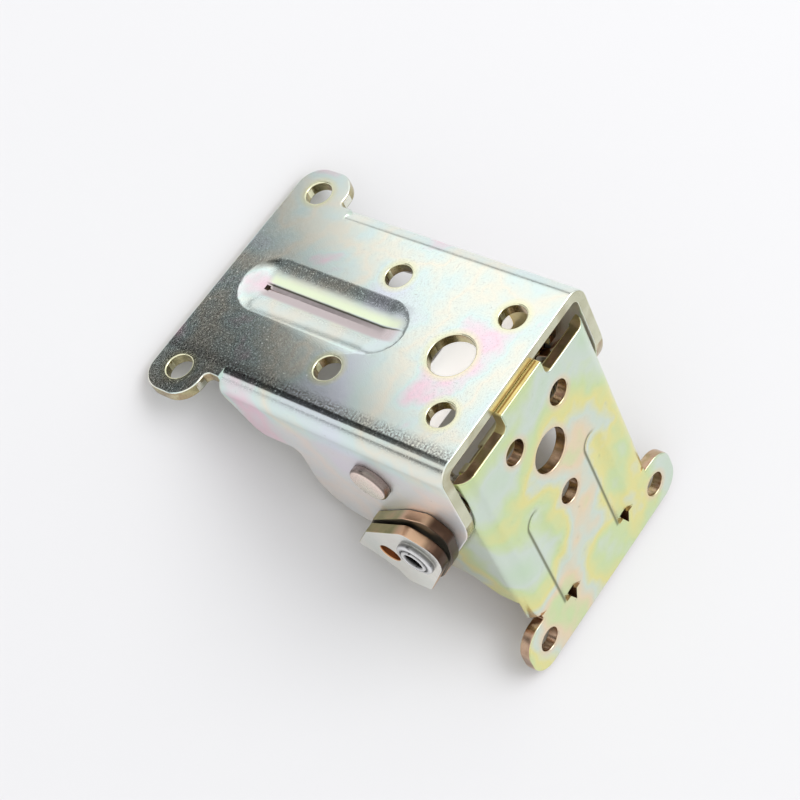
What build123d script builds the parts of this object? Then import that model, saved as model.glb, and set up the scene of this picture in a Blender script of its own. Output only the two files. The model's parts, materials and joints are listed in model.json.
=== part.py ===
# Self-locking folding hinge: two pressed channel plates joined by a cross pin.
# Frame: origin at the middle of the table plate's four-hole pattern, on its outer face.
# X runs along the hinge axis, with the release lever on the -X side.
# Y runs from the hinge end towards the table plate's ears, Z points out of the table plate.
# The leg plate is drawn opened square to the table plate, hanging down from it.
import math
import os

from build123d import *

os.makedirs("parts", exist_ok=True)

# sheet and channel sizes, mm
sheet = 2.5
table_half = 23.85
side_gap = 0.30
leg_half = table_half - sheet - side_gap
table_bend = 4.0
leg_bend = 3.5

# table plate
pattern_x = 24.0
pattern_y = 28.0
pattern_from_end = 7.7
end_y = -(pattern_from_end + pattern_y / 2)
table_length = 72.65
table_ear_x = 23.75
table_ear_r = 6.6
table_ear_out = 6.2
ear_corner = 5.2
ear_y = end_y + table_length - table_ear_r
hole_r = 2.8
big_hole_r = 4.75
big_hole_y = end_y + 13.85
flange_depth = 34.6
ear_reach = 16.35
flange_rear = table_length - ear_reach
neck_half = 22.6
root_r = 1.3
rib_start = 32.5
rib_end_gap = 10.2
rib_stop = table_length - rib_end_gap
rib_half = 7.0
rib_wall = 3.6
rib_wall_deep = 0.70
rib_deep = 1.75
rib_back = 0.6
rib_tip = 1.6
tip_start_half = 0.3
tip_half = 1.5
tip_long = 6.0
tip_deep = 2.0
pierce_wide = 1.2
pierce_long = 1.0

# leg plate
leg_face = end_y - 1.58
leg_inner = leg_face + sheet
tab_top = -sheet - 0.10
tab_half = 6.7
notch_floor = -6.8
leg_hole_r = 2.65
leg_pair_x = 14.86
leg_pair_z = -13.4
leg_big_r = 4.7
leg_big_z = -22.8
leg_low_z = -36.9
leg_ear_x = 20.37
leg_ear_z = -63.1
leg_ear_r = 6.5
leg_bottom = leg_ear_z - leg_ear_r
leg_flange_low = -49.9
leg_neck_low = -55.2
leg_neck_half = 19.3
leg_rib_x = 10.05
leg_rib_half = 2.85
leg_rib_top = -33.4
leg_rib_low = -60.2
leg_rib_deep = 0.75
leg_rib_back = 0.3
leg_pit_half = 1.5
leg_pit_top = -59.1
leg_pit_low = -62.8
leg_pit_deep = 2.2
leg_pit_middle = (leg_pit_top + leg_pit_low) / 2
leg_pierce_share = 0.3
leg_flange_deep = 31.3
leg_trim = 4.7
leg_blank = leg_flange_deep + leg_trim

# pins
pivot_y = end_y + 21.2
pivot_z = -13.2
pivot_r = 3.0
pivot_head_r = 4.3
pivot_head = 1.8
pivot_head_edge = 0.5
spacer_r = pivot_r + 1.2
spacer_clear = 0.10
pivot_washer_r = 5.5
pivot_washer_clear = 0.04
shaft_y = end_y + 12.2
shaft_z = -27.2
shaft_r = 2.5
shaft_bore_r = 1.9
shaft_head_r = 4.2
shaft_head = 1.5
shaft_head_edge = 0.6
shaft_mouth_edge = 0.5
far_washer_r = 5.2
far_washer_t = 0.8
far_washer_clear = 0.20
lever_washer_r = 4.4
sleeve_r = 3.0
centre_sleeve = (-3.6, 9.6)
near_sleeve = (-10.4, -8.2)
run = 0.05
shaft_arm = math.hypot(shaft_y - pivot_y, shaft_z - pivot_z)
shaft_angle = math.degrees(math.atan2(shaft_z - pivot_z, shaft_y - pivot_y)) % 360

# lock sector and slot in the leg plate's flanges
hub_r = 3.9
slot_half = hub_r + 0.20
land_r = shaft_arm - slot_half
slot_out_r = shaft_arm + slot_half
boss_r = 10.0
recess_r = 10.3
slot_start = 118.0
land_start = 128.0
land_end = 203.0
recess_end = 222.0
fold = 90.0
pawl_travel = 14.0
pawl_sheet = 2.3
pawl_width = 4.0
nose_r = recess_r + 0.8
arm_r = land_r + 0.30
arm_out_r = arm_r + pawl_width
heel_angle = land_start + fold - 1.2

# lever stack, measured outward from the near flange
lever_sheet = 2.3
lever_clear = 0.12
lever_gap = 0.50
inner_plate_x = -(table_half + lever_clear)
outer_plate_x = inner_plate_x - lever_sheet - lever_gap
lever_face_x = outer_plate_x - lever_sheet
pull_hole_r = 2.35
pull_hole_y = end_y + 21.1
pull_hole_z = -32.1

# springs
wire_r = 0.4
wire_clear = 0.06
coil_r = shaft_r + run + wire_r + wire_clear
coil_pitch = 1.15
turn_steps = 12
spring_back = 0.5
leg_over = 2.5
hook_back = 20.0


def at_end(y, z, r=0.0):
    """Point given from the hinge end of the table plate, with a corner radius."""
    return (end_y + y, z, r)


def rounded_wire(points):
    """Closed outline through corner points (a, b, corner radius)."""
    count = len(points)
    starts = []
    ends = []
    mids = []
    for i in range(count):
        ax, ay = points[i - 1][0], points[i - 1][1]
        bx, by, radius = points[i]
        cx, cy = points[(i + 1) % count][0], points[(i + 1) % count][1]
        in_len = math.hypot(ax - bx, ay - by)
        out_len = math.hypot(cx - bx, cy - by)
        ux, uy = (ax - bx) / in_len, (ay - by) / in_len
        vx, vy = (cx - bx) / out_len, (cy - by) / out_len
        if radius <= 0:
            starts.append((bx, by))
            ends.append((bx, by))
            mids.append(None)
            continue
        half = math.acos(max(-1.0, min(1.0, ux * vx + uy * vy))) / 2
        reach = radius / math.tan(half)
        norm = math.hypot(ux + vx, uy + vy)
        wx, wy = (ux + vx) / norm, (uy + vy) / norm
        middle = radius / math.sin(half) - radius
        starts.append((bx + ux * reach, by + uy * reach))
        ends.append((bx + vx * reach, by + vy * reach))
        mids.append((bx + wx * middle, by + wy * middle))
    for i in range(count):
        if mids[i] is not None:
            ThreePointArc(starts[i], mids[i], ends[i])
        here = ends[i]
        there = starts[(i + 1) % count]
        if math.hypot(here[0] - there[0], here[1] - there[1]) > 1e-6:
            Line(here, there)


def polar(radius, angle, centre=(pivot_y, pivot_z)):
    """Point at a radius and angle about a centre, in the side view."""
    turn = math.radians(angle)
    return (centre[0] + radius * math.cos(turn), centre[1] + radius * math.sin(turn))


def sector_wire(inner, outer, start, stop):
    """Closed ring sector about the pivot, in the side view."""
    middle = (start + stop) / 2
    ThreePointArc(polar(outer, start), polar(outer, middle), polar(outer, stop))
    Line(polar(outer, stop), polar(inner, stop))
    ThreePointArc(polar(inner, stop), polar(inner, middle), polar(inner, start))
    Line(polar(inner, start), polar(outer, start))


def channel_section(half, depth, bend):
    """Corner points of a channel section, outer face at zero, legs downward."""
    inner = bend - sheet
    return [
        (-half, -depth, 0),
        (-half, 0, bend),
        (half, 0, bend),
        (half, -depth, 0),
        (half - sheet, -depth, 0),
        (half - sheet, -sheet, inner),
        (-half + sheet, -sheet, inner),
        (-half + sheet, -depth, 0),
    ]


def side_plane(x):
    """Plane square to the hinge axis, with Y across and Z up."""
    return Plane(origin=(x, 0, 0), x_dir=(0, 1, 0), z_dir=(1, 0, 0))


def rib_plane(x, y, z):
    """Plane square to a leg rib, looking down it, with the sheet's inside below."""
    return Plane(origin=(x, y, z), x_dir=(1, 0, 0), z_dir=(0, 0, -1))


def front_plane(y):
    """Plane square to Y, with X across and Z up, facing the leg plate's outer side."""
    return Plane(origin=(0, y, 0), x_dir=(1, 0, 0), z_dir=(0, -1, 0))


def rib_half_section(top, grow):
    """Half of the table rib's section: rounded shoulder, straight wall and a sharp root."""
    shoulder = (rib_half + grow, top)
    mid = ((rib_half + rib_wall) / 2 + grow, top - rib_wall_deep * 0.30)
    wall = (rib_wall + grow, top - rib_wall_deep)
    root = (0, top - rib_deep)
    ThreePointArc(shoulder, mid, wall)
    Line(wall, root)
    Line(root, (0, top))
    Line((0, top), shoulder)


def rib_tool(top, grow):
    """The table rib as a solid: a long trough, round at both ends."""
    with BuildPart() as trough:
        for end in (rib_start, rib_stop - rib_tip):
            with BuildSketch(front_plane(end_y + end)) as section:
                with BuildLine() as half:
                    rib_half_section(top, grow)
                make_face(half.line.edges())
            revolve(section.sketch, axis=Axis((0, end_y + end, 0), (0, 0, 1)))
        with BuildSketch(front_plane(end_y + rib_start)) as section:
            with BuildLine() as half:
                rib_half_section(top, grow)
            make_face(half.line.edges())
            mirror(about=Plane.YZ)
        extrude(section.sketch, amount=-(rib_stop - rib_tip - rib_start))
    return trough.part


def leg_rib_tool(x, face, half):
    """A leg rib as a solid: a round-bottomed trough, round at its top."""
    with BuildPart() as trough:
        with BuildSketch(rib_plane(x, face, leg_rib_top)) as section:
            with BuildLine() as bow:
                ThreePointArc((-half, 0), (0, -leg_rib_deep), (half, 0))
                Line((half, 0), (-half, 0))
            make_face(bow.line.edges())
        extrude(section.sketch, amount=leg_rib_top - leg_rib_low)
        with BuildSketch(rib_plane(x, face, leg_rib_top)) as section:
            with BuildLine() as bow:
                middle = math.sin(math.radians(45)) * half
                radius = (half**2 + leg_rib_deep**2) / (2 * leg_rib_deep)
                drop = math.sqrt(radius**2 - middle**2) - (radius - leg_rib_deep)
                ThreePointArc((0, -leg_rib_deep), (middle, -drop), (half, 0))
                Line((half, 0), (0, 0))
                Line((0, 0), (0, -leg_rib_deep))
            make_face(bow.line.edges())
        revolve(section.sketch, axis=Axis((x, face, leg_rib_top), (0, 1, 0)))
    return trough.part


def pit_outline(x, share):
    """A leg pit's triangle, at a share of its size at the face."""
    upper = leg_pit_middle + (leg_pit_top - leg_pit_middle) * share
    lower = leg_pit_middle + (leg_pit_low - leg_pit_middle) * share
    Polygon((x - leg_pit_half * share, upper), (x + leg_pit_half * share, upper), (x, lower), align=None)


# table plate: channel with deep lobes at the hinge end and two ears
table_keep = [
    at_end(0, 1),
    at_end(0, -19.4, 14.0),
    at_end(9.9, -flange_depth, 6.0),
    at_end(41.9, -flange_depth, 10.4),
    at_end(41.3, -14.9, 2.2),
    at_end(51.6, -15.3, 4.0),
    at_end(flange_rear - 0.2, -5.5, 3.0),
    at_end(flange_rear + 0.5, 1),
]

with BuildPart() as table_plate:
    with BuildSketch(front_plane(end_y)):
        with BuildLine():
            rounded_wire(channel_section(table_half, flange_depth + 1, table_bend))
        make_face()
    extrude(amount=-flange_rear)
    with BuildSketch():
        with Locations((0, end_y + (flange_rear + table_length) / 2)):
            Rectangle(2 * neck_half, table_length - flange_rear)
        with Locations((0, ear_y)):
            RectangleRounded(2 * (table_ear_x + table_ear_out), 2 * table_ear_r, ear_corner)
    extrude(amount=-sheet)
    for side in (-1, 1):
        with BuildSketch(side_plane(side * (table_half - table_bend + 0.05))):
            with Locations((end_y + 30, -30)):
                Rectangle(120, 100)
            with BuildLine():
                rounded_wire(table_keep)
            make_face(mode=Mode.SUBTRACT)
            with Locations((end_y + flange_rear + 40, 0)):
                Rectangle(80, 100, mode=Mode.SUBTRACT)
        extrude(amount=side * 10, mode=Mode.SUBTRACT)
    roots = table_plate.edges().filter_by(Axis.Z).filter_by(
        lambda e: abs(abs(e.center().X) - neck_half) < 0.01 and e.center().Y > end_y + flange_rear + 1
    )
    fillet(roots, root_r)
    add(rib_tool(-sheet, rib_back))
    add(rib_tool(0, 0), mode=Mode.SUBTRACT)
    with BuildSketch(front_plane(end_y + rib_stop - tip_long)):
        Polygon((-tip_start_half, 0), (tip_start_half, 0), (0, -rib_deep), align=None)
    with BuildSketch(front_plane(end_y + rib_stop)):
        Polygon((-tip_half, 0), (tip_half, 0), (0, -tip_deep), align=None)
    loft(ruled=True, mode=Mode.SUBTRACT)
    with BuildSketch():
        with Locations((pattern_x / 2, pattern_y / 2), (-pattern_x / 2, pattern_y / 2)):
            Circle(hole_r)
        with Locations((pattern_x / 2, -pattern_y / 2), (-pattern_x / 2, -pattern_y / 2)):
            Circle(hole_r)
        with Locations((table_ear_x, ear_y), (-table_ear_x, ear_y)):
            Circle(hole_r)
        with Locations((0, big_hole_y)):
            Circle(big_hole_r)
        with Locations((0, end_y + rib_stop - pierce_long / 2)):
            Rectangle(pierce_wide, pierce_long)
    extrude(amount=-sheet - rib_deep - 1, mode=Mode.SUBTRACT)
    with BuildSketch(side_plane(-table_half - 1)):
        with Locations((pivot_y, pivot_z)):
            Circle(pivot_r)
        with Locations((shaft_y, shaft_z)):
            Circle(shaft_r + run)
    extrude(amount=2 * table_half + 2, mode=Mode.SUBTRACT)
table_plate.part.label = "table_plate"

# leg plate: narrower channel whose flanges carry the lock sector and the shaft's slot
leg_web = [
    (leg_face - 0.5, notch_floor, 0),
    at_end(12.0, notch_floor),
    at_end(21.2, -6.0),
    at_end(leg_flange_deep, pivot_z - 1.0, 3.0),
    at_end(30.6, -22.0, 6.0),
    at_end(23.5, -45.8, 6.0),
    at_end(12.3, -46.4, 6.0),
    at_end(6.0, leg_flange_low, 3.0),
    (leg_face - 0.5, leg_flange_low, 0),
]

with BuildPart() as leg_plate:
    with BuildSketch(Plane(origin=(0, leg_face, leg_neck_low), x_dir=(1, 0, 0), z_dir=(0, 0, 1))):
        with BuildLine():
            turned = [(a, -b, c) for (a, b, c) in channel_section(leg_half, leg_blank, leg_bend)]
            rounded_wire(turned)
        make_face()
    extrude(amount=tab_top - leg_neck_low)
    for side in (-1, 1):
        with BuildSketch(side_plane(side * (leg_half - leg_bend + 0.05))):
            with Locations((leg_face + 40 + 3.0, -30)):
                Rectangle(80, 120)
            with BuildLine():
                rounded_wire(leg_web)
            make_face(mode=Mode.SUBTRACT)
            with Locations((pivot_y, pivot_z)):
                Circle(boss_r, mode=Mode.SUBTRACT)
            with BuildLine():
                sector_wire(2.0, land_r, land_start, land_end)
            make_face(mode=Mode.SUBTRACT)
            with BuildLine():
                sector_wire(land_r, slot_out_r, slot_start, shaft_angle)
            make_face()
            with BuildLine():
                sector_wire(recess_r, land_r + 0.5, land_end, recess_end)
            make_face()
            with BuildLine():
                Polyline(
                    polar(recess_r, recess_end - 0.1),
                    polar(land_r + 0.1, shaft_angle - 2.0),
                    polar(land_r + 1.0, recess_end - 0.1),
                    close=True,
                )
            make_face()
            with Locations((shaft_y, shaft_z)):
                Circle(slot_half)
        extrude(amount=side * 6, mode=Mode.SUBTRACT)
    with BuildSketch(front_plane(leg_face)):
        with Locations((0, (leg_bottom + leg_neck_low) / 2)):
            Rectangle(2 * leg_neck_half, leg_neck_low - leg_bottom)
        with Locations((0, leg_ear_z)):
            RectangleRounded(2 * (leg_ear_x + leg_ear_r), 2 * leg_ear_r, ear_corner)
    extrude(amount=-sheet)
    with BuildSketch(front_plane(leg_face - 1)):
        for side in (-1, 1):
            with BuildLine():
                rounded_wire([
                    (side * tab_half, tab_top + 5, 0),
                    (side * tab_half, notch_floor, 1.4),
                    (side * (leg_half + 3), notch_floor, 0),
                    (side * (leg_half + 3), tab_top + 5, 0),
                ])
            make_face()
    extrude(amount=-(sheet + 2), mode=Mode.SUBTRACT)
    for side in (-1, 1):
        x = side * leg_rib_x
        add(leg_rib_tool(x, leg_inner, leg_rib_half + leg_rib_back))
        add(leg_rib_tool(x, leg_face, leg_rib_half), mode=Mode.SUBTRACT)
        with BuildSketch(front_plane(leg_face)):
            pit_outline(x, 1.0)
        with BuildSketch(front_plane(leg_face + leg_pit_deep)):
            pit_outline(x, leg_pierce_share)
        loft(ruled=True, mode=Mode.SUBTRACT)
        with BuildSketch(front_plane(leg_face)):
            pit_outline(x, leg_pierce_share)
        extrude(amount=-sheet - leg_rib_deep - 1, mode=Mode.SUBTRACT)
    with BuildSketch(front_plane(leg_face)):
        with Locations((leg_pair_x / 2, leg_pair_z), (-leg_pair_x / 2, leg_pair_z), (0, leg_low_z)):
            Circle(leg_hole_r)
        with Locations((leg_ear_x, leg_ear_z), (-leg_ear_x, leg_ear_z)):
            Circle(leg_hole_r)
        with Locations((0, leg_big_z)):
            Circle(leg_big_r)
    extrude(amount=-sheet, mode=Mode.SUBTRACT)
    with BuildSketch(side_plane(-leg_half - 1)):
        with Locations((pivot_y, pivot_z)):
            Circle(pivot_r + run)
    extrude(amount=2 * leg_half + 2, mode=Mode.SUBTRACT)
leg_plate.part.label = "leg_plate"

# main pivot pin with its formed heads, and the parts on it
def rod(radius, start, stop, y, z):
    """Round bar along the hinge axis, made in the current part."""
    with BuildSketch(side_plane(start)) as disc:
        with Locations((y, z)):
            Circle(radius)
    extrude(disc.sketch, amount=stop - start)


def ring(outer, inner, start, stop, y, z):
    """Round sleeve along the hinge axis, made in the current part."""
    with BuildSketch(side_plane(start)) as disc:
        with Locations((y, z)):
            Circle(outer)
            Circle(inner, mode=Mode.SUBTRACT)
    extrude(disc.sketch, amount=stop - start)


with BuildPart() as pivot_pin:
    rod(pivot_r, -table_half - pivot_head, table_half + pivot_head, pivot_y, pivot_z)
    rod(pivot_head_r, -table_half - pivot_head, -table_half, pivot_y, pivot_z)
    rod(pivot_head_r, table_half, table_half + pivot_head, pivot_y, pivot_z)
    rims = pivot_pin.edges().filter_by(GeomType.CIRCLE).filter_by(lambda e: e.radius > pivot_r + 0.1)
    chamfer([e for e in rims if abs(e.center().X) > table_half + 0.1], pivot_head_edge)
pivot_pin.part.label = "pivot_pin"

spacer_half = leg_half - sheet - spacer_clear
with BuildPart() as pivot_spacer:
    ring(spacer_r, pivot_r + run, -spacer_half, spacer_half, pivot_y, pivot_z)
pivot_spacer.part.label = "pivot_spacer"

washer_in = leg_half + pivot_washer_clear
washer_out = table_half - sheet - pivot_washer_clear
with BuildPart() as pivot_washer_near:
    ring(pivot_washer_r, pivot_r + run, -washer_out, -washer_in, pivot_y, pivot_z)
pivot_washer_near.part.label = "pivot_washer_near"

with BuildPart() as pivot_washer_far:
    ring(pivot_washer_r, pivot_r + run, washer_in, washer_out, pivot_y, pivot_z)
pivot_washer_far.part.label = "pivot_washer_far"

# hollow shaft of the lock, with a rolled head at each end
shaft_near = lever_face_x - shaft_head
far_washer_x = table_half + far_washer_clear
shaft_far = far_washer_x + far_washer_t + run + shaft_head
with BuildPart() as lock_shaft:
    rod(shaft_r, shaft_near, shaft_far, shaft_y, shaft_z)
    rod(shaft_head_r, shaft_near, lever_face_x, shaft_y, shaft_z)
    rod(shaft_head_r, shaft_far - shaft_head, shaft_far, shaft_y, shaft_z)
    with BuildSketch(side_plane(shaft_near)):
        with Locations((shaft_y, shaft_z)):
            Circle(shaft_bore_r)
    extrude(amount=shaft_far - shaft_near, mode=Mode.SUBTRACT)
    rims = lock_shaft.edges().filter_by(GeomType.CIRCLE).filter_by(lambda e: e.radius > shaft_r + 0.1)
    outer_rims = [e for e in rims if not shaft_near + 0.1 < e.center().X < shaft_far - 0.1]
    chamfer(outer_rims, shaft_head_edge)
    mouths = lock_shaft.edges().filter_by(GeomType.CIRCLE).filter_by(lambda e: e.radius < shaft_bore_r + 0.1)
    chamfer(mouths, shaft_mouth_edge)
lock_shaft.part.label = "lock_shaft"

with BuildPart() as shaft_washer_far:
    ring(far_washer_r, shaft_r, far_washer_x, far_washer_x + far_washer_t, shaft_y, shaft_z)
shaft_washer_far.part.label = "shaft_washer_far"

# release lever: two stacked plates with a thin ring between them
inner_outline = [
    at_end(25.3, -26.5, 0.6),
    at_end(14.6, -19.3, 4.0),
    at_end(8.3, -17.0, 3.0),
    at_end(4.3, -20.6, 3.0),
    at_end(5.9, -29.0, 14.0),
    at_end(12.3, -39.0, 9.0),
    at_end(14.9, -41.6, 2.0),
    at_end(20.4, -41.9, 1.6),
    at_end(21.6, -38.9, 3.0),
    at_end(26.2, -35.8, 8.0),
    at_end(30.5, -34.5, 0.8),
]
outer_outline = [
    at_end(25.2, -26.8, 0.5),
    at_end(13.0, -19.7, 3.5),
    at_end(6.0, -22.2, 3.6),
    at_end(5.9, -27.6, 8.0),
    at_end(14.4, -41.5, 1.6),
    at_end(20.5, -42.0, 1.6),
    at_end(21.6, -38.9, 3.0),
    at_end(26.2, -35.8, 8.0),
    at_end(30.5, -34.5, 0.8),
]

with BuildPart() as lever_inner_plate:
    with BuildSketch(side_plane(inner_plate_x)):
        with BuildLine():
            rounded_wire(inner_outline)
        make_face()
        with Locations((shaft_y, shaft_z)):
            Circle(shaft_r, mode=Mode.SUBTRACT)
        with Locations((pull_hole_y, pull_hole_z)):
            Circle(pull_hole_r, mode=Mode.SUBTRACT)
    extrude(amount=-lever_sheet)
lever_inner_plate.part.label = "lever_inner_plate"

with BuildPart() as lever_outer_plate:
    with BuildSketch(side_plane(outer_plate_x)):
        with BuildLine():
            rounded_wire(outer_outline)
        make_face()
        with Locations((shaft_y, shaft_z)):
            Circle(shaft_r, mode=Mode.SUBTRACT)
        with Locations((pull_hole_y, pull_hole_z)):
            Circle(pull_hole_r, mode=Mode.SUBTRACT)
    extrude(amount=-lever_sheet)
lever_outer_plate.part.label = "lever_outer_plate"

with BuildPart() as lever_washer:
    ring(lever_washer_r, shaft_r, outer_plate_x, outer_plate_x + lever_gap, shaft_y, shaft_z)
lever_washer.part.label = "lever_washer"

# lock pawls, drawn lifted clear of the leg plate's lock sector
lock_corner = polar(land_r, land_end)
face_r = math.hypot(lock_corner[0] - shaft_y, lock_corner[1] - shaft_z) - 0.15


def lifted(radius, angle):
    """Point set about the pivot on the engaged pawl, turned up about the shaft."""
    y, z = polar(radius, angle)
    turn = math.radians(pawl_travel)
    dy, dz = y - shaft_y, z - shaft_z
    cos_t, sin_t = math.cos(turn), math.sin(turn)
    return (shaft_y + dy * cos_t - dz * sin_t, shaft_z + dy * sin_t + dz * cos_t)


def face_angle(radius):
    """Angle about the pivot at which the pawl's front face reaches a radius."""
    over = radius**2 + shaft_arm**2 - face_r**2
    return shaft_angle - math.degrees(math.acos(over / (2 * radius * shaft_arm)))


def pawl(start):
    """One lock pawl: hub on the shaft, curved arm and a nose towards the pivot."""
    tip = face_angle(nose_r)
    crown = face_angle(arm_out_r)
    heel = (tip + heel_angle) / 2
    with BuildSketch(side_plane(start)) as blank:
        with Locations((shaft_y, shaft_z)):
            Circle(hub_r)
        with BuildLine() as edge:
            middle_r = (nose_r + arm_out_r) / 2
            ThreePointArc(
                lifted(arm_out_r, crown),
                lifted(middle_r, face_angle(middle_r)),
                lifted(nose_r, tip),
            )
            ThreePointArc(lifted(nose_r, tip), lifted(nose_r, heel), lifted(nose_r, heel_angle))
            Line(lifted(nose_r, heel_angle), lifted(arm_r, heel_angle + 0.6))
            middle = (heel_angle + 0.6 + shaft_angle) / 2
            ThreePointArc(
                lifted(arm_r, heel_angle + 0.6),
                lifted(arm_r, middle),
                lifted(arm_r, shaft_angle),
            )
            Line(lifted(arm_r, shaft_angle), lifted(arm_out_r, shaft_angle))
            ThreePointArc(
                lifted(arm_out_r, shaft_angle),
                lifted(arm_out_r, (shaft_angle + crown) / 2),
                lifted(arm_out_r, crown),
            )
        make_face(edge.line.edges())
        with Locations((shaft_y, shaft_z)):
            Circle(shaft_r, mode=Mode.SUBTRACT)
    extrude(blank.sketch, amount=pawl_sheet)


pawl_x = leg_half - sheet / 2 - pawl_sheet / 2
with BuildPart() as pawl_near:
    pawl(-pawl_x - pawl_sheet)
pawl_near.part.label = "pawl_near"

with BuildPart() as pawl_far:
    pawl(pawl_x)
pawl_far.part.label = "pawl_far"

# sleeves that keep the springs apart on the shaft
with BuildPart() as sleeve_centre:
    ring(sleeve_r, shaft_r + run, *centre_sleeve, shaft_y, shaft_z)
sleeve_centre.part.label = "sleeve_centre"

with BuildPart() as sleeve_near:
    ring(sleeve_r, shaft_r + run, *near_sleeve, shaft_y, shaft_z)
sleeve_near.part.label = "sleeve_near"

# torsion springs on the shaft: one leg bears on the pivot spacer, the other on a pawl
lean = math.degrees(math.asin((spacer_r + wire_r + 0.04 - coil_r) / shaft_arm))
leg_normal = shaft_angle - 180 - 90 - lean


def spring(start, stop):
    """Torsion spring wound from its long leg at one X position to its hook at another."""
    side = 1 if stop > start else -1
    hook = lifted(arm_out_r + wire_r + wire_clear, shaft_angle - hook_back)
    reach = math.hypot(hook[0] - shaft_y, hook[1] - shaft_z)
    hook_angle = math.degrees(math.atan2(hook[1] - shaft_z, hook[0] - shaft_y))
    leave = hook_angle + math.degrees(math.acos(coil_r / reach))
    turns = max(3, int(abs(stop - start) / coil_pitch))
    swing = 360.0 * turns + (leg_normal - leave) % 360
    steps = turn_steps * turns
    long_leg = math.sqrt(shaft_arm**2 - (spacer_r + wire_r - coil_r) ** 2) + leg_over
    heading = math.radians(leg_normal + 90)
    first = polar(coil_r, leg_normal, (shaft_y, shaft_z))
    tip_y = first[0] + long_leg * math.cos(heading)
    tip_z = first[1] + long_leg * math.sin(heading)
    points = [(start, tip_y, tip_z)]
    for i in range(steps + 1):
        y, z = polar(coil_r, leg_normal - swing * i / steps, (shaft_y, shaft_z))
        points.append((start + (stop - start) * i / steps, y, z))
    points.append((stop, *hook))
    points.append((side * (pawl_x + pawl_sheet - 0.1), *hook))
    with BuildLine() as wind:
        Polyline(*points)
    wire = wind.line.wires()[0]
    with BuildSketch(Plane(origin=points[0], z_dir=wire % 0)) as cut:
        RegularPolygon(wire_r, 6)
    sweep(cut.sketch, path=wire, transition=Transition.RIGHT)


spring_room = pawl_x - wire_r - 0.25
with BuildPart() as spring_near:
    spring(near_sleeve[0] - spring_back, -spring_room)
spring_near.part.label = "spring_near"

with BuildPart() as spring_far:
    spring(centre_sleeve[1] + spring_back, spring_room)
spring_far.part.label = "spring_far"

for name in (
    table_plate,
    leg_plate,
    pivot_pin,
    pivot_spacer,
    pivot_washer_near,
    pivot_washer_far,
    lock_shaft,
    shaft_washer_far,
    lever_inner_plate,
    lever_outer_plate,
    lever_washer,
    pawl_near,
    pawl_far,
    sleeve_centre,
    sleeve_near,
    spring_near,
    spring_far,
):
    export_step(name.part, "parts/" + name.part.label + ".step")
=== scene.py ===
import json
import math

import bmesh
import bpy
from mathutils import Matrix, Vector

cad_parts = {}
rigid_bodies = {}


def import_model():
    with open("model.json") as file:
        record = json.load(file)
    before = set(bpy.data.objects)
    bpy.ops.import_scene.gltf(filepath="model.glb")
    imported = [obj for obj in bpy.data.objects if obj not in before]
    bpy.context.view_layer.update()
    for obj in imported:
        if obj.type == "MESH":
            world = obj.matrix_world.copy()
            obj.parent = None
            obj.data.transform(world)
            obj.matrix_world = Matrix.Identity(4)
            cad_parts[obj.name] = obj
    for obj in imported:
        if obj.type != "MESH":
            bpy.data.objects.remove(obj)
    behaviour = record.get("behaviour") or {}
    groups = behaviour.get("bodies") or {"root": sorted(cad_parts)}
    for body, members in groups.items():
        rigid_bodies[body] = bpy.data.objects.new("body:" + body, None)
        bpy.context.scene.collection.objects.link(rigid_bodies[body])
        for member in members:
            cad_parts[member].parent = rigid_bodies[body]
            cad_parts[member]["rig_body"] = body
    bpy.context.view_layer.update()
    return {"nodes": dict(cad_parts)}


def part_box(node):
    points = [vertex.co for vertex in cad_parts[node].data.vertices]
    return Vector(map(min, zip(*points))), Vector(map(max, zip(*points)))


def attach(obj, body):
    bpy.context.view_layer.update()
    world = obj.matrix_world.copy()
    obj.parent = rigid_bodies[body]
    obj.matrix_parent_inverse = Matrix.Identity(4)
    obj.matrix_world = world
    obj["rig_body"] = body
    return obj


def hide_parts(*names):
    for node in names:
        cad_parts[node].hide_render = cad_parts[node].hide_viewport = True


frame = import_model()
mm = 0.001

# The view: the hinge stands on its four ears like a small tent, and the camera looks
# down on it from the lever side.
camera_place = Vector((-130.78, -206.18, 262.18)) * mm
looking = Vector((0.33690, 0.57388, -0.74643))
rightward = Vector((0.56430, -0.75769, -0.32783))
upward = rightward.cross(looking)
camera_data = bpy.data.cameras.new("camera")
camera_data.lens = 85.84
camera_data.sensor_width = 36.0
camera_data.clip_start = 0.01
camera = bpy.data.objects.new("camera", camera_data)
scene = bpy.context.scene
scene.collection.objects.link(camera)
turn = Matrix((rightward, upward, -looking)).transposed().to_4x4()
camera.matrix_world = Matrix.Translation(camera_place) @ turn
scene.camera = camera

# The floor: a sheet of white paper under the ears' ends, sloping in this frame because
# the hinge stands on both plates' ends. It is open from below, so that views from
# behind show the hinge.
sheet = 2.5 * mm
table_low, table_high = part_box("table_plate")
leg_low, leg_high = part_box("leg_plate")
table_end = Vector((0, table_high.y, -sheet))
leg_end = Vector((0, leg_low.y + sheet, leg_low.z))
floor_up = Vector((1, 0, 0)).cross(table_end - leg_end).normalized()
floor_gap = 0.25 * mm
floor_middle = (table_end + leg_end) / 2 - floor_up * floor_gap
bpy.ops.object.select_all(action="DESELECT")
bpy.ops.mesh.primitive_grid_add(x_subdivisions=8, y_subdivisions=8, size=3.0)
floor = bpy.context.object
floor.name = "floor"
floor_turn = Vector((0, 0, 1)).rotation_difference(floor_up).to_matrix().to_4x4()
floor.data.transform(Matrix.Translation(floor_middle) @ floor_turn)
paper = bpy.data.materials.new("white_paper")
paper.use_nodes = True
paper_nodes = paper.node_tree.nodes
paper_links = paper.node_tree.links
paper_shader = paper_nodes["Principled BSDF"]
paper_shader.inputs["Base Color"].default_value = (0.735, 0.735, 0.75, 1)
paper_shader.inputs["Roughness"].default_value = 0.9
sheet_side = paper_nodes.new("ShaderNodeNewGeometry")
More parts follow.
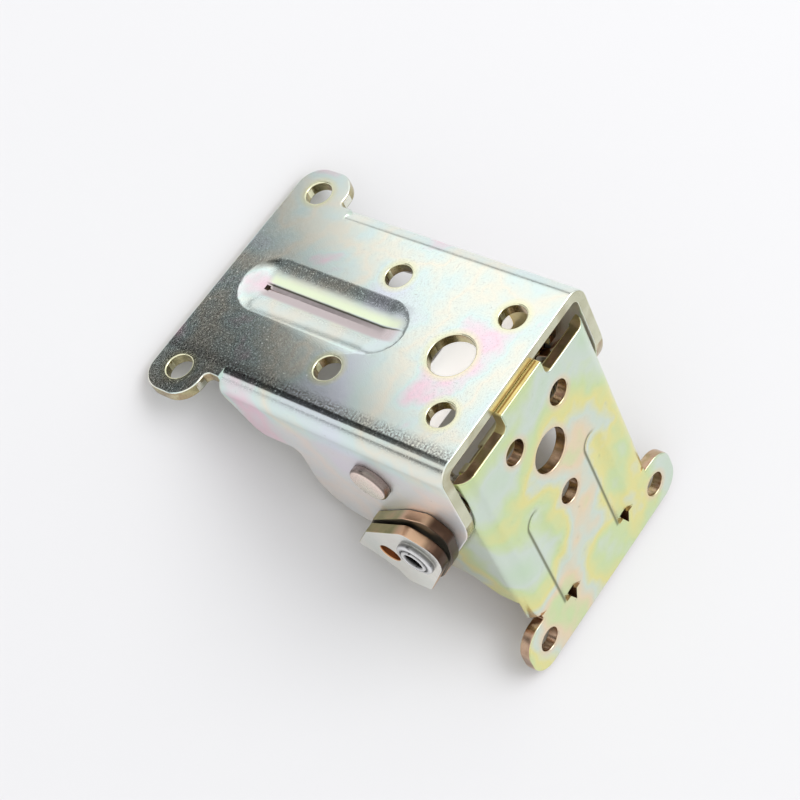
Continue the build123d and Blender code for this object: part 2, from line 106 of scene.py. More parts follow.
open_below = paper_nodes.new("ShaderNodeBsdfTransparent")
one_sided = paper_nodes.new("ShaderNodeMixShader")
paper_links.new(sheet_side.outputs["Backfacing"], one_sided.inputs["Fac"])
paper_links.new(paper_shader.outputs["BSDF"], one_sided.inputs[1])
paper_links.new(open_below.outputs["BSDF"], one_sided.inputs[2])
paper_links.new(one_sided.outputs["Shader"], paper_nodes["Material Output"].inputs["Surface"])
floor.data.materials.append(paper)

# The light: a pale room with two soft lamps. The far end of the room, low behind the
# paper, is dark, and the bright plating of the table plate mirrors where the dark begins.
scene.view_settings.view_transform = "Standard"
world = bpy.data.worlds.new("studio")
scene.world = world
world.use_nodes = True
sky = world.node_tree.nodes
sky_links = world.node_tree.links
sky.clear()
sky_place = sky.new("ShaderNodeTexCoord")


def colour_ramp(nodes, stops):
    """A Color Ramp node from (position, colour) stops."""
    ramp = nodes.new("ShaderNodeValToRGB")
    marks = ramp.color_ramp.elements
    for mark, (position, colour) in zip(marks, (stops[0], stops[-1])):
        mark.position = position
        mark.color = (*colour, 1)
    for position, colour in stops[1:-1]:
        marks.new(position).color = (*colour, 1)
    return ramp


def greys(steps):
    """Grey stops from (position, tone) pairs."""
    return [(position, (tone, tone, tone)) for position, tone in steps]


def shaded_side(direction, steps):
    """Grey tones of the room by how near a direction is: (closeness, tone) pairs."""
    facing = sky.new("ShaderNodeVectorMath")
    facing.operation = "DOT_PRODUCT"
    facing.inputs[1].default_value = direction.normalized()
    sky_links.new(sky_place.outputs["Generated"], facing.inputs[0])
    ramp = colour_ramp(sky, greys(steps))
    sky_links.new(facing.outputs["Value"], ramp.inputs["Fac"])
    return ramp.outputs["Color"]


def join_tones(operation, first, second):
    """Two patterns of the room's tones joined, such as multiplied."""
    joined = sky.new("ShaderNodeVectorMath")
    joined.operation = operation
    sky_links.new(first, joined.inputs[0])
    sky_links.new(second, joined.inputs[1])
    return joined.outputs["Vector"]


far_wall = shaded_side(
    Vector((-0.25, 0.87, 0.42)),
    ((0.0, 0.62), (0.50, 0.76), (0.66, 0.88), (0.716, 0.93), (0.732, 0.84), (0.744, 0.50),
     (0.755, 0.20), (0.764, 0.07), (0.775, 0.03), (1.0, 0.03)),
)
ceiling = shaded_side(
    floor_up,
    ((0.0, 0.0), (0.22, 0.0), (0.29, 0.50), (0.37, 0.80), (1.0, 0.72)),
)
near_corner = shaded_side(
    Vector((0.14, 0.56, 0.815)),
    ((0.0, 1.0), (0.978, 1.0), (0.990, 0.62), (0.997, 0.42), (1.0, 0.40)),
)
paper_edge = shaded_side(floor_up, ((0.0, 0.12), (0.02, 0.16), (0.05, 0.9), (0.08, 1.0)))
walls = join_tones("MULTIPLY", join_tones("MAXIMUM", far_wall, ceiling), near_corner)
room = join_tones("MULTIPLY", walls, paper_edge)
room_light = sky.new("ShaderNodeBackground")
room_light.inputs["Strength"].default_value = 1.3
sky_links.new(room, room_light.inputs["Color"])
sky_out = sky.new("ShaderNodeOutputWorld")
sky_links.new(room_light.outputs["Background"], sky_out.inputs["Surface"])
hinge_middle = Vector((0, 0, -20)) * mm


def soft_lamp(name, direction, distance, size, power):
    """A square soft lamp that faces the hinge from a direction."""
    data = bpy.data.lights.new(name, "AREA")
    data.shape = "SQUARE"
    data.size = size
    data.energy = power
    lamp = bpy.data.objects.new(name, data)
    scene.collection.objects.link(lamp)
    spot = hinge_middle + direction.normalized() * distance
    aim = (spot - hinge_middle).to_track_quat("Z", "Y").to_matrix().to_4x4()
    lamp.matrix_world = Matrix.Translation(spot) @ aim


soft_lamp("top_light", Vector((0.47, -0.64, 0.61)), distance=1.0, size=0.7, power=4.0)
soft_lamp("left_light", Vector((-0.38, 0.58, 0.73)), distance=0.9, size=0.30, power=0.22)

# Table plate: one blank of 2.5 mm steel sheet, pierced, ribbed and folded into a channel,
# then zinc plated. Its film is thin and pale, with yellow only round the holes, and the
# plate carries every other piece of the hinge.
table_half = 23.85
table_bend = 4.0
table_flange_end = 34.6
screw_x = 12.0
screw_y = 14.0
screw_r = 2.8
table_ear_x = 23.75
table_ear_y = 44.35
ear_cut_x = 19.5
cut_near = 0.3
centre_y = -7.85
centre_r = 4.75
rib_tip_half = 2.4
rib_tip_start = 32.0
rib_tip_top = -0.2
end_near = 0.2
round_corner = 0.32
merge_gap = 0.002 * mm


def clean_copy(node, name, round_mm, smooth_deg=32, stays_sharp=None):
    """A merged copy of a CAD node with its corners rounded, which stands for that node."""
    flat_turn = math.radians(0.4)
    corner_turn = math.radians(40)
    bpy.ops.object.select_all(action="DESELECT")
    source = frame["nodes"][node]
    piece = bpy.data.objects.new(name, source.data.copy())
    scene.collection.objects.link(piece)
    piece.data.materials.clear()
    bpy.context.view_layer.objects.active = piece
    piece.select_set(True)
    bpy.ops.object.mode_set(mode="EDIT")
    bpy.ops.mesh.select_all(action="SELECT")
    bpy.ops.mesh.remove_doubles(threshold=merge_gap)
    bpy.ops.mesh.customdata_custom_splitnormals_clear()
    bpy.ops.mesh.dissolve_limited(angle_limit=flat_turn)
    bpy.ops.object.mode_set(mode="OBJECT")
    if round_mm > 0:
        shape = bmesh.new()
        shape.from_mesh(piece.data)
        weight = shape.edges.layers.float.new("bevel_weight_edge")
        for edge in shape.edges:
            middle = (edge.verts[0].co + edge.verts[1].co) / 2
            kept_sharp = stays_sharp and stays_sharp(middle / mm)
            if edge.calc_face_angle(0.0) > corner_turn and not kept_sharp:
                edge[weight] = 1.0
        shape.to_mesh(piece.data)
        shape.free()
        rounding = piece.modifiers.new("rounding", "BEVEL")
        rounding.width = round_mm * mm
        rounding.segments = 3
        rounding.limit_method = "WEIGHT"
        rounding.use_clamp_overlap = False
        rounding.loop_slide = False
        bpy.ops.object.modifier_apply(modifier="rounding")
    bpy.ops.object.shade_smooth_by_angle(angle=math.radians(smooth_deg))
    flats = piece.modifiers.new("flats", "WEIGHTED_NORMAL")
    flats.keep_sharp = True
    flats.weight = 80
    bpy.ops.object.modifier_apply(modifier="flats")
    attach(piece, source["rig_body"])
    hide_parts(node)
    return piece


def graph(finish):
    """The nodes and links of a material."""
    return finish.node_tree.nodes, finish.node_tree.links


def reckon(finish, operation, first, second=None):
    """A Math node on one or two values, each a socket or a plain number."""
    nodes, links = graph(finish)
    step = nodes.new("ShaderNodeMath")
    step.operation = operation
    for place, value in enumerate((first, second)):
        if isinstance(value, float):
            step.inputs[place].default_value = value
        elif value is not None:
            links.new(value, step.inputs[place])
    return step.outputs["Value"]


def fade(finish, value, full, none, most=1.0, curve="SMOOTHSTEP"):
    """A mask that is at its most where a value reaches full, and nothing at none."""
    nodes, links = graph(finish)
    span = nodes.new("ShaderNodeMapRange")
    span.interpolation_type = curve
    span.inputs["From Min"].default_value = none
    span.inputs["From Max"].default_value = full
    span.inputs["To Max"].default_value = most
    links.new(value, span.inputs["Value"])
    return span.outputs["Result"]


def noise(finish, place, scale, detail, roughness=0.5, distortion=0.0):
    """A noise pattern on the object's own coordinates."""
    nodes, links = graph(finish)
    pattern = nodes.new("ShaderNodeTexNoise")
    pattern.inputs["Scale"].default_value = scale
    pattern.inputs["Detail"].default_value = detail
    pattern.inputs["Roughness"].default_value = roughness
    pattern.inputs["Distortion"].default_value = distortion
    links.new(place, pattern.inputs["Vector"])
    return pattern.outputs["Fac"]


def stain(finish, mask, colour):
    """Lays a colour over a finish where a mask is one."""
    nodes, links = graph(finish)
    paint = nodes["Principled BSDF"].inputs["Base Color"]
    layer = nodes.new("ShaderNodeMix")
    layer.data_type = "RGBA"
    layer.inputs["B"].default_value = (*colour, 1)
    links.new(mask, layer.inputs["Factor"])
    links.new(paint.links[0].from_socket, layer.inputs["A"])
    links.new(layer.outputs["Result"], paint)


def plating(name, tints, tint_scale, rough, dark, seed, metal=1.0, grit=0.14):
    """Iridescent zinc plating: soft clouds of tint, fine grain, and small dark specks."""
    finish = bpy.data.materials.new(name)
    finish.use_nodes = True
    nodes, links = graph(finish)
    shader = nodes["Principled BSDF"]
    shader.inputs["Metallic"].default_value = metal
    where = nodes.new("ShaderNodeTexCoord")
    shift = nodes.new("ShaderNodeMapping")
    shift.inputs["Location"].default_value = seed
    links.new(where.outputs["Object"], shift.inputs["Vector"])
    place = shift.outputs["Vector"]
    ramp = colour_ramp(nodes, tints)
    links.new(noise(finish, place, tint_scale, 4.0, distortion=0.15), ramp.inputs["Fac"])
    links.new(ramp.outputs["Color"], shader.inputs["Base Color"])
    speckle = noise(finish, place, 1100, 5.0, roughness=0.7)
    stain(finish, fade(finish, speckle, 0.77, 0.65, curve="LINEAR"), dark)
    dull = nodes.new("ShaderNodeMapRange")
    dull.inputs["To Min"].default_value = rough - 0.04
    dull.inputs["To Max"].default_value = rough + 0.06
    links.new(speckle, dull.inputs["Value"])
    links.new(dull.outputs["Result"], shader.inputs["Roughness"])
    bump = nodes.new("ShaderNodeBump")
    bump.inputs["Strength"].default_value = grit
    bump.inputs["Distance"].default_value = 0.03 * mm
    links.new(noise(finish, place, 5200, 4.0), bump.inputs["Height"])
    links.new(bump.outputs["Normal"], shader.inputs["Normal"])
    return finish


def dull_where(finish, mask, extra):
    """Makes a finish rougher where a mask is one, as on stretched and rubbed metal."""
    nodes, links = graph(finish)
    roughness = nodes["Principled BSDF"].inputs["Roughness"]
    more = reckon(finish, "MULTIPLY", mask, extra)
    links.new(reckon(finish, "ADD", more, roughness.links[0].from_socket), roughness)


def both(finish, first, second):
    """Where two masks are one."""
    return reckon(finish, "MULTIPLY", first, second)


def flattened(finish, keep):
    """The object's coordinates with the axes whose keep is 0 left out."""
    nodes, links = graph(finish)
    level = nodes.new("ShaderNodeVectorMath")
    level.operation = "MULTIPLY"
    level.inputs[1].default_value = keep
    links.new(nodes["Texture Coordinate"].outputs["Object"], level.inputs[0])
    return level.outputs["Vector"]


def distance_from(finish, place, centre):
    """How far a place is from a centre given in mm."""
    nodes, links = graph(finish)
    away = nodes.new("ShaderNodeVectorMath")
    away.operation = "DISTANCE"
    away.inputs[1].default_value = Vector(centre) * mm
    links.new(place, away.inputs[0])
    return away.outputs["Value"]


def rims(finish, holes, keep, reach, most, start=0.25):
    """A soft ring round each hole (centre, radius), measured in the plane of the sheet."""
    place = flattened(finish, keep)
    total = None
    for centre, radius in holes:
        away = distance_from(finish, place, centre)
        ring = fade(finish, away, (radius + start) * mm, (radius + reach) * mm, most, "LINEAR")
        total = ring if total is None else reckon(finish, "MAXIMUM", total, ring)
    return total


def along(finish, axis):
    """The object's own coordinate on one axis."""
    nodes, links = graph(finish)
    split = nodes.new("ShaderNodeSeparateXYZ")
    links.new(nodes["Texture Coordinate"].outputs["Object"], split.inputs["Vector"])
    return split.outputs[axis]


def band(finish, axis, full, none, most=1.0):
    """One at a place along an axis, fading to nothing at another, both in mm."""
    return fade(finish, along(finish, axis), full * mm, none * mm, most)


def strip(finish, axis, first, second):
    """One between two soft edges along an axis, each given as (full, none) in mm."""
    return both(finish, band(finish, axis, *first), band(finish, axis, *second))


def specks(finish, scale, low, high):
    """One on small scattered specks."""
    place = graph(finish)[0]["Texture Coordinate"].outputs["Object"]
    return fade(finish, noise(finish, place, scale, 2.0), high, low, curve="LINEAR")


mint = (0.75, 0.87, 0.84)
cream = (0.87, 0.86, 0.75)
blush = (0.93, 0.71, 0.79)
sky_blue = (0.78, 0.82, 0.90)
hole_yellow = (0.88, 0.86, 0.55)
dark_reflection_grey = (0.32, 0.32, 0.30)
rib_shade_pink = (0.68, 0.60, 0.60)
rib_highlight_green = (0.93, 1.0, 0.80)
crease_shadow_dark = (0.12, 0.12, 0.08)
flange_pink = (0.90, 0.77, 0.79)
table_plating = plating(
    "table_plating",
    [(0.30, sky_blue), (0.42, mint), (0.50, cream), (0.57, mint), (0.64, blush), (0.74, sky_blue)],
    tint_scale=40, rough=0.115, dark=(0.30, 0.29, 0.25), seed=(0.3, 0.1, 0.7), grit=0.20,
)
table_holes = [((0, centre_y, 0), centre_r)]
for side in (-1, 1):
    table_holes.append(((side * table_ear_x, table_ear_y, 0), screw_r))
    for end in (-1, 1):
        table_holes.append(((side * screw_x, end * screw_y, 0), screw_r))
table_rings = rims(table_plating, table_holes, keep=(1, 1, 0), reach=1.7, most=0.75)
stain(table_plating, table_rings, hole_yellow)

# The folds are satin, the flanges more so, and a speckled band of painted dark reflection
# lies along the web by the near fold.
dull_where(table_plating, band(table_plating, "Z", -1.4, -0.1), extra=0.19)
dull_where(table_plating, band(table_plating, "Z", -6.0, -3.5), extra=0.12)
rough_dots = specks(table_plating, scale=2700, low=0.56, high=0.74)
dull_where(table_plating, rough_dots, extra=0.15)
near_fold = strip(table_plating, "X", (-19.2, -17.0), (-19.9, -20.7))
dark_reflection_dots = specks(table_plating, scale=2400, low=0.36, high=0.66)
stain(table_plating, both(table_plating, near_fold, dark_reflection_dots), dark_reflection_grey)

# Painted light on the rib: pink painted shade below its crease, a painted shadow line along the
# crease, and a pale green painted highlight above it.
rib_length = strip(table_plating, "Y", (7.5, 4.0), (39.5, 41.5))
rib_shade_below = both(table_plating, rib_length, strip(table_plating, "X", (0.9, 1.2), (-1.5, -2.5)))
stain(table_plating, rib_shade_below, rib_shade_pink)
rib_highlight_above = both(table_plating, rib_length, strip(table_plating, "X", (1.5, 1.2), (2.2, 4.4)))
stain(table_plating, rib_highlight_above, rib_highlight_green)
dull_where(table_plating, rib_highlight_above, extra=0.30)
high_wall = both(table_plating, rib_length, strip(table_plating, "X", (1.4, 1.1), (6.0, 7.0)))
dull_where(table_plating, high_wall, extra=0.10)
crease = both(table_plating, rib_length, strip(table_plating, "X", (1.0, 1.35), (1.0, 0.7)))
stain(table_plating, crease, crease_shadow_dark)

# The flanges are pinker than the web, and the cut edges keep a darker film.
flange = band(table_plating, "Z", -9.0, -5.0, most=0.45)
stain(table_plating, flange, flange_pink)
table_edge_plating = plating(
    "table_edge_plating",
    [(0.34, (0.26, 0.24, 0.13)), (0.48, (0.50, 0.45, 0.26)), (0.60, (0.42, 0.32, 0.20)),
     (0.72, (0.62, 0.58, 0.38))],
    tint_scale=160, rough=0.26, dark=(0.16, 0.13, 0.08), seed=(0.8, 0.3, 0.5),
)
table_rim_plating = plating(
    "table_rim_plating",
    [(0.36, (0.56, 0.56, 0.40)), (0.52, (0.66, 0.66, 0.50)), (0.68, (0.50, 0.47, 0.32))],
    tint_scale=130, rough=0.22, dark=(0.30, 0.28, 0.20), seed=(0.5, 0.8, 0.2),
)


def table_stays_sharp(point):
    """The rib's pierced tip and the cuts beside the ears, which are too short to round."""
    in_tip = abs(point.x) < rib_tip_half and point.y > rib_tip_start and point.z < rib_tip_top
    beside_ear = abs(point.y - table_flange_end) < cut_near and abs(point.x) > ear_cut_x
    return in_tip or beside_ear


table_shell = clean_copy("table_plate", "table_shell", round_corner, stays_sharp=table_stays_sharp)
table_films = (table_plating, table_edge_plating, table_rim_plating)
for finish in table_films:
    table_shell.data.materials.append(finish)

# A face's direction tells the flat sides of the sheet from its cut edges.
for face in table_shell.data.polygons:
    middle = face.center / mm
    on_web = abs(middle.x) < table_half - table_bend or middle.y > table_flange_end
    on_flange = middle.z < -table_bend
    cut_through = on_web and not on_flange and abs(face.normal.z) < 0.5 and face.normal.y > -0.98
    cut_edge = on_flange and abs(face.normal.x) < 0.5
    if cut_through or cut_edge:
        face.material_index = table_films.index(table_edge_plating)
    if face.normal.y < -0.9 and middle.y < table_low.y / mm + end_near:
        face.material_index = table_films.index(table_rim_plating)

# Leg plate: the narrower channel, pressed from the same sheet steel, with a thicker yellow
# film. It turns on the cross pin between the table plate's flanges, and has a tab at its
# top between two notches.
leg_half = 21.05
leg_bend = 3.5
leg_flange_low = -49.9
leg_neck_low = -55.2
leg_hole_r = 2.65
leg_pair_x = 7.43
leg_pair_z = -13.4
leg_big_r = 4.7
leg_big_z = -22.8
leg_small_z = -36.9
leg_ear_x = 20.37
leg_ear_z = -63.1
leg_ear_cut_x = 17.0
leg_rib_x = 10.05
leg_rib_half = 2.85
leg_rib_top = -33.4
leg_rib_low = -60.2
leg_pit_z = -61.0
leg_pit_r = 0.9
leg_pit_half = 2.2
leg_pit_span = (-63.5, -58.0)
tab_reach = 6.5
notch_deep = 9.0
straw = (0.81, 0.76, 0.33)
lime = (0.64, 0.76, 0.42)
peach = (0.83, 0.69, 0.49)
aqua = (0.60, 0.74, 0.56)
haze = (0.66, 0.75, 0.66)
hole_orange = (0.84, 0.64, 0.46)
rib_shadow_dark = (0.13, 0.14, 0.07)
pit_shade_dark = (0.11, 0.07, 0.04)
shear_dark = (0.18, 0.10, 0.03)
leg_plating = plating(
    "leg_plating",
    [(0.30, aqua), (0.39, haze), (0.45, lime), (0.51, straw), (0.56, haze), (0.62, peach),
     (0.68, lime), (0.76, aqua)],
    tint_scale=36, rough=0.22, dark=(0.30, 0.30, 0.20), seed=(1.3, 0.4, 0.2),
)
leg_holes = [((0, 0, leg_big_z), leg_big_r), ((0, 0, leg_small_z), leg_hole_r)]
for side in (-1, 1):
    leg_holes.append(((side * leg_pair_x, 0, leg_pair_z), leg_hole_r))
    leg_holes.append(((side * leg_ear_x, 0, leg_ear_z), leg_hole_r))
leg_rings = rims(leg_plating, leg_holes, keep=(1, 0, 1), reach=1.5, most=0.6)
stain(leg_plating, leg_rings, hole_orange)


def rib_shadow_line(finish):
    """Painted shadow: the dark line down the -X edge of each leg rib, with a hook round the rib's
    top.
    """
    x = along(finish, "X")
    z = along(finish, "Z")
    rib_middle = reckon(finish, "MULTIPLY", reckon(finish, "SIGN", x), leg_rib_x * mm)
    across = reckon(finish, "SUBTRACT", x, rib_middle)
    above = reckon(finish, "MAXIMUM", reckon(finish, "SUBTRACT", z, leg_rib_top * mm), 0.0)
    squares = reckon(
        finish, "ADD",
        reckon(finish, "MULTIPLY", across, across),
        reckon(finish, "MULTIPLY", above, above),
    )
    from_edge = reckon(finish, "SUBTRACT", reckon(finish, "SQRT", squares), leg_rib_half * mm)
    line = fade(finish, reckon(finish, "ABSOLUTE", from_edge), 0.05 * mm, 0.70 * mm)
    left = fade(finish, across, -0.3 * leg_rib_half * mm, 0.7 * leg_rib_half * mm)
    over_low = reckon(finish, "SUBTRACT", leg_rib_low * mm, z)
    on_rib = fade(finish, over_low, -1.0 * mm, 0.0)
    front_y = leg_low.y / mm
    outside = band(finish, "Y", front_y + 1.2, front_y + 1.4)
    mask = both(finish, both(finish, line, left), both(finish, on_rib, outside))
    return reckon(finish, "MULTIPLY", mask, 0.85)


# Painted shadow along each leg rib's steep -X wall.
stain(leg_plating, rib_shadow_line(leg_plating), rib_shadow_dark)
leg_edge_plating = plating(
    "leg_edge_plating",
    [(0.34, (0.30, 0.19, 0.12)), (0.48, (0.58, 0.40, 0.28)), (0.60, (0.44, 0.34, 0.18)),
     (0.72, (0.70, 0.50, 0.40))],
    tint_scale=160, rough=0.24, dark=(0.16, 0.10, 0.07), seed=(0.2, 0.7, 0.5),
)
# Painted shade in the pierced pits at the low ends of the leg ribs.
leg_pits = [((side * leg_rib_x, 0, leg_pit_z), leg_pit_r) for side in (-1, 1)]
pit_shade_rings = rims(leg_edge_plating, leg_pits, keep=(1, 0, 1), reach=2.4, most=0.8)
stain(leg_edge_plating, pit_shade_rings, pit_shade_dark)
tab_gold = plating(
    "tab_gold",
    [(0.36, (0.46, 0.37, 0.19)), (0.52, (0.56, 0.47, 0.25)), (0.68, (0.42, 0.31, 0.16))],
    tint_scale=150, rough=0.22, dark=(0.40, 0.30, 0.12), seed=(0.4, 0.2, 0.9),
)
tab_shear_line = strip(tab_gold, "Y", (-22.3, -22.6), (-22.1, -21.9))
stain(tab_gold, tab_shear_line, shear_dark)
inner_gold = plating(
    "inner_gold",
    [(0.36, (0.52, 0.42, 0.18)), (0.52, (0.66, 0.56, 0.28)), (0.68, (0.46, 0.32, 0.16))],
    tint_scale=130, rough=0.34, dark=(0.30, 0.22, 0.10), seed=(0.8, 0.4, 0.1), metal=0.6,
)


def leg_stays_sharp(point):
    """The pits of the leg ribs and the cuts beside the ears, which are too short to round."""
    low, high = leg_pit_span
    in_pit = abs(abs(point.x) - leg_rib_x) < leg_pit_half and low < point.z < high
    beside_ear = abs(point.z - leg_neck_low) < cut_near and abs(point.x) > leg_ear_cut_x
    return in_pit or beside_ear


leg_shell = clean_copy("leg_plate", "leg_shell", round_corner, stays_sharp=leg_stays_sharp)
leg_films = (leg_plating, leg_edge_plating, tab_gold, inner_gold)
for finish in leg_films:
    leg_shell.data.materials.append(finish)
for face in leg_shell.data.polygons:
    middle = face.center / mm
    under_top = leg_high.z / mm - middle.z
    on_web = abs(middle.x) < leg_half - leg_bend or middle.z < leg_flange_low
    on_flange = middle.y > leg_low.y / mm + leg_bend
    cut_through = on_web and not on_flange and abs(face.normal.y) < 0.5
    cut_edge = on_flange and abs(face.normal.x) < 0.5
    in_notch = cut_through and under_top < notch_deep and abs(middle.x) > tab_reach - 1
    flange_inside = on_flange and face.normal.x * middle.x < 0 and abs(face.normal.x) > 0.9
    inner_side = face.normal.y > 0.9 or flange_inside
    if cut_through or cut_edge or abs(face.normal.z) > 0.75:
        face.material_index = leg_films.index(leg_edge_plating)
    if face.normal.z > 0.75 and under_top < 1 and abs(middle.x) < tab_reach:
        face.material_index = leg_films.index(tab_gold)
    if in_notch or (inner_side and not cut_through):
        face.material_index = leg_films.index(inner_gold)

# Cross pin: a solid turned steel pin, plated, whose heads are formed flat outside the
# table plate's flanges. The leg plate turns on it.
pin_y = -0.5
pin_z = -13.2
pin_end = 25.65
head_r = 4.3


def turned(name, node, profile, axis_y, axis_z):
    """A lathe-turned piece about an axis along X: its profile is (x, radius) points in mm."""
    bpy.ops.object.select_all(action="DESELECT")
    shape = bpy.data.meshes.new(name)
    points = [(x * mm, axis_y * mm, (axis_z + radius) * mm) for x, radius in profile]
    shape.from_pydata(points, [(i, i + 1) for i in range(len(points) - 1)], [])
    piece = bpy.data.objects.new(name, shape)
    scene.collection.objects.link(piece)
    bpy.context.view_layer.objects.active = piece
    piece.select_set(True)
    bpy.ops.object.mode_set(mode="EDIT")
    bpy.ops.mesh.select_all(action="SELECT")
    middle = (0, axis_y * mm, axis_z * mm)
    bpy.ops.mesh.spin(steps=72, angle=math.tau, center=middle, axis=(1, 0, 0))
    bpy.ops.mesh.select_all(action="SELECT")
    bpy.ops.mesh.remove_doubles(threshold=merge_gap)
    bpy.ops.mesh.normals_make_consistent(inside=False)
    bpy.ops.object.mode_set(mode="OBJECT")
    bpy.ops.object.shade_smooth_by_angle(angle=math.radians(38))
    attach(piece, frame["nodes"][node]["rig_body"])
    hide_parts(node)
    return piece


def painted_ring_tones(finish, axis_y, axis_z, steps):
    """Painted shade and reflection: multiplies a finish by grey tones on rings about an axis along
    X: (radius, tone) pairs.
    """
    nodes, links = graph(finish)
    widest = 5.0
    away = distance_from(finish, flattened(finish, (0, 1, 1)), (0, axis_y, axis_z))
    ramp = colour_ramp(nodes, greys([(radius / widest, tone) for radius, tone in steps]))
    links.new(fade(finish, away, widest * mm, 0.0, curve="LINEAR"), ramp.inputs["Fac"])
    paint = nodes["Principled BSDF"].inputs["Base Color"]
    shade = nodes.new("ShaderNodeMix")
    shade.data_type = "RGBA"
    shade.blend_type = "MULTIPLY"
    shade.inputs["Factor"].default_value = 1.0
    links.new(paint.links[0].from_socket, shade.inputs["A"])
    links.new(ramp.outputs["Color"], shade.inputs["B"])
    links.new(shade.outputs["Result"], paint)


pin_plating = plating(
    "pin_plating",
    [(0.35, (0.97, 0.76, 0.70)), (0.5, (0.95, 0.82, 0.72)), (0.65, (0.88, 0.88, 0.74))],
    tint_scale=90, rough=0.26, dark=(0.3, 0.2, 0.15), seed=(0.1, 0.9, 0.4),
)
# Painted dark reflection on the rounded rim of each pin head.
painted_ring_tones(pin_plating, pin_y, pin_z, ((0, 1), (3.85, 1), (4.0, 0.55), (4.12, 0.22), (head_r, 0.30)))
pin_head = [
    (pin_end, 0), (pin_end, 3.72), (pin_end - 0.06, 3.95), (pin_end - 0.22, 4.14),
    (pin_end - 0.48, 4.26), (pin_end - 0.75, head_r), (table_half + 0.2, head_r),
    (table_half + 0.05, 4.22), (table_half, 3.0),
]
far_head = list(reversed(pin_head))
near_head = [(-x, radius) for x, radius in pin_head]
pin = turned("cross_pin", "pivot_pin", near_head + far_head, pin_y, pin_z)
pin.data.materials.append(pin_plating)

# Hollow shaft: a drawn steel tube, bright zinc, whose ends are rolled over the lever on
# the near side and over a washer on the far side. It turns in the table plate's lobes
# and carries the lever and the lock.
shaft_y = -9.5
shaft_z = -27.2
shaft_near = -30.57
shaft_far = 26.45
shaft_r = 2.5
bore = 1.9
collar_r = 4.2
shaft_shade_brown = (0.34, 0.25, 0.10)
rolled_end = [
    (2.2, bore), (0.55, bore), (0.22, 2.02), (0.04, 2.28), (0, 2.52), (0.08, 2.78), (0.3, 2.92),
    (0.42, 3.0), (0.36, 3.1), (0.3, 3.3), (0.3, 3.7), (0.4, 3.98), (0.62, 4.15),
    (0.9, collar_r), (1.3, collar_r), (1.5, 4.1), (1.5, shaft_r),
]
near_roll = [(shaft_near + depth, radius) for depth, radius in rolled_end]
far_roll = [(shaft_far - depth, radius) for depth, radius in reversed(rolled_end)]
rivet = turned("hollow_rivet", "lock_shaft", near_roll + far_roll + near_roll[:1], shaft_y, shaft_z)
rivet_zinc = plating(
    "rivet_zinc",
    [(0.35, (0.80, 0.80, 0.80)), (0.65, (0.88, 0.88, 0.88))],
    tint_scale=140, rough=0.20, dark=(0.35, 0.35, 0.36), seed=(0.5, 0.1, 0.1),
)
# Painted shade in the bore and painted dark reflections in rings on the rolled ends.
painted_ring_tones(
    rivet_zinc, shaft_y, shaft_z,
    ((0, 0.12), (1.95, 0.10), (2.1, 0.5), (2.35, 1), (2.75, 0.9), (2.92, 0.25), (3.05, 0.04),
     (3.25, 0.06), (3.4, 0.8), (3.9, 1), (4.08, 0.8), (collar_r, 0.2)),
)
# Painted shade: the shaft is dark brown inside the hinge, between the flanges.
shade_inside_hinge = strip(rivet_zinc, "X", (-20.5, -21.5), (20.5, 21.5))
stain(rivet_zinc, shade_inside_hinge, shaft_shade_brown)
rivet.data.materials.append(rivet_zinc)

# Washers: thin stamped rings of bright zinc, two in the gaps between the channels'
# flanges and one under the shaft's far end.
washer_zinc = plating(
    "bright_zinc",
    [(0.35, (0.72, 0.72, 0.72)), (0.5, (0.80, 0.80, 0.79)), (0.65, (0.76, 0.77, 0.78))],
    tint_scale=120, rough=0.14, dark=(0.35, 0.35, 0.36), seed=(0.5, 0.5, 0.1),
)
for node, name, rounding in (
    ("pivot_washer_near", "thin_washer_near", 0.0),
    ("pivot_washer_far", "thin_washer_far", 0.0),
    ("shaft_washer_far", "rivet_washer_far", 0.15),
):
    clean_copy(node, name, rounding).data.materials.append(washer_zinc)

# Tubes: a pale satin tube on the cross pin keeps the leg plate's flanges apart, and
# short yellow-plated steel sleeves on the shaft keep the springs in place. A little glow
# on the pale tube stands for the room light that reaches it between the plates.
tube_round = 0.12
tube_white = plating(
    "sleeve_white",
    [(0.35, (0.93, 0.91, 0.90)), (0.65, (0.90, 0.89, 0.89))],
    tint_scale=120, rough=0.45, dark=(0.70, 0.68, 0.65), seed=(0.7, 0.1, 0.6), metal=0.0,
)
tube_shader = tube_white.node_tree.nodes["Principled BSDF"]
tube_shader.inputs["Emission Color"].default_value = (1.0, 0.97, 0.96, 1)
tube_shader.inputs["Emission Strength"].default_value = 0.62
sleeve_gold = plating(
    "sleeve_gold",
    [(0.35, (0.60, 0.56, 0.34)), (0.65, (0.72, 0.64, 0.40))],
    tint_scale=120, rough=0.30, dark=(0.30, 0.26, 0.14), seed=(0.7, 0.1, 0.6),
)
for node, name, finish in (
    ("pivot_spacer", "pin_tube", tube_white),
    ("sleeve_centre", "centre_sleeve", sleeve_gold),
    ("sleeve_near", "short_sleeve", sleeve_gold),
):
    clean_copy(node, name, tube_round).data.materials.append(finish)
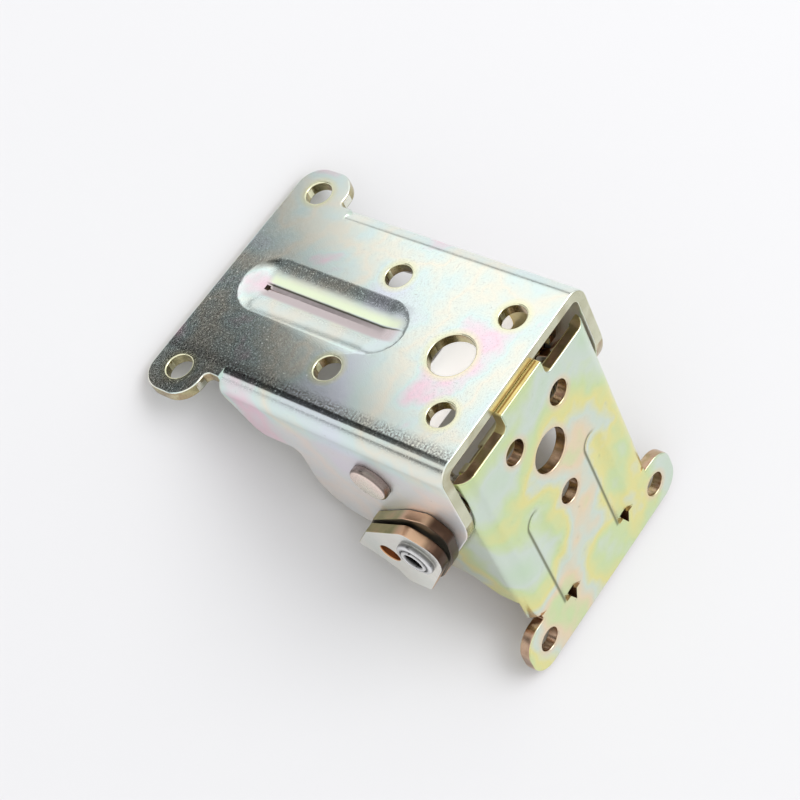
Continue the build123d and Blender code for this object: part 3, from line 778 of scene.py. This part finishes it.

# Release lever and lock pawls: stamped steel plates fixed on the shaft. The two lever
# plates sit side by side outside the near flange, and the pawls in slots of the leg
# plate. Their sheared edges are olive and orange by the shaft, and painted shade makes them nearly
# black at the end.
pull_hole = [((0, -0.6, -32.1), 2.35)]
lever_round = 0.22
edge_orange = (0.84, 0.52, 0.36)
end_shade_dark = (0.03, 0.014, 0.01)
hole_rust = (0.80, 0.42, 0.20)
lever_plating = plating(
    "lever_plating",
    [(0.34, (0.28, 0.28, 0.13)), (0.5, (0.40, 0.36, 0.18)), (0.62, (0.48, 0.36, 0.20)),
     (0.74, (0.30, 0.28, 0.15))],
    tint_scale=150, rough=0.30, dark=(0.24, 0.18, 0.10), seed=(0.6, 0.2, 0.3),
)
shaft_half = band(lever_plating, "Y", -7.5, -4.5, most=0.75)
stain(lever_plating, shaft_half, edge_orange)
shaded_round_end = band(lever_plating, "Y", -14.6, -12.4, most=0.93)
stain(lever_plating, shaded_round_end, end_shade_dark)
hole_ring = rims(lever_plating, pull_hole, keep=(0, 1, 1), reach=0.5, most=0.9)
stain(lever_plating, hole_ring, hole_rust)
lever_side_plating = plating(
    "lever_side_plating",
    [(0.34, (0.84, 0.86, 0.81)), (0.5, (0.91, 0.90, 0.84)), (0.66, (0.86, 0.82, 0.76))],
    tint_scale=80, rough=0.30, dark=(0.40, 0.36, 0.28), seed=(0.9, 0.6, 0.3),
)
# Painted shade for the inner lever plate's side that faces the outer plate, in the gap between the
# two plates.
gap_shade = plating(
    "gap_shade",
    [(0.35, (0.10, 0.09, 0.07)), (0.65, (0.16, 0.14, 0.10))],
    tint_scale=150, rough=0.40, dark=(0.05, 0.04, 0.03), seed=(0.3, 0.6, 0.3),
)
lever_films = (lever_plating, lever_side_plating, gap_shade)
for node, name in (
    ("lever_inner_plate", "lever_inner"),
    ("lever_outer_plate", "lever_outer"),
    ("pawl_near", "lock_pawl_near"),
    ("pawl_far", "lock_pawl_far"),
):
    plate = clean_copy(node, name, lever_round)
    for finish in lever_films:
        plate.data.materials.append(finish)
    for face in plate.data.polygons:
        if abs(face.normal.x) > 0.9:
            face.material_index = lever_films.index(lever_side_plating)
        if name == "lever_inner" and face.normal.x < -0.9:
            face.material_index = lever_films.index(gap_shade)

# Springs and lever washer: two torsion springs of drawn steel wire, wound round the shaft,
# and the thin dark ring on it that parts the two lever plates.
wire_finish = plating(
    "spring_wire",
    [(0.35, (0.40, 0.38, 0.34)), (0.65, (0.55, 0.53, 0.48))],
    tint_scale=200, rough=0.3, dark=(0.2, 0.16, 0.1), seed=(0.2, 0.6, 0.8),
)
for node, name, smooth_deg in (
    ("spring_near", "near_spring", 70),
    ("spring_far", "far_spring", 70),
    ("lever_washer", "lever_ring", 32),
):
    clean_copy(node, name, 0.0, smooth_deg).data.materials.append(wire_finish)
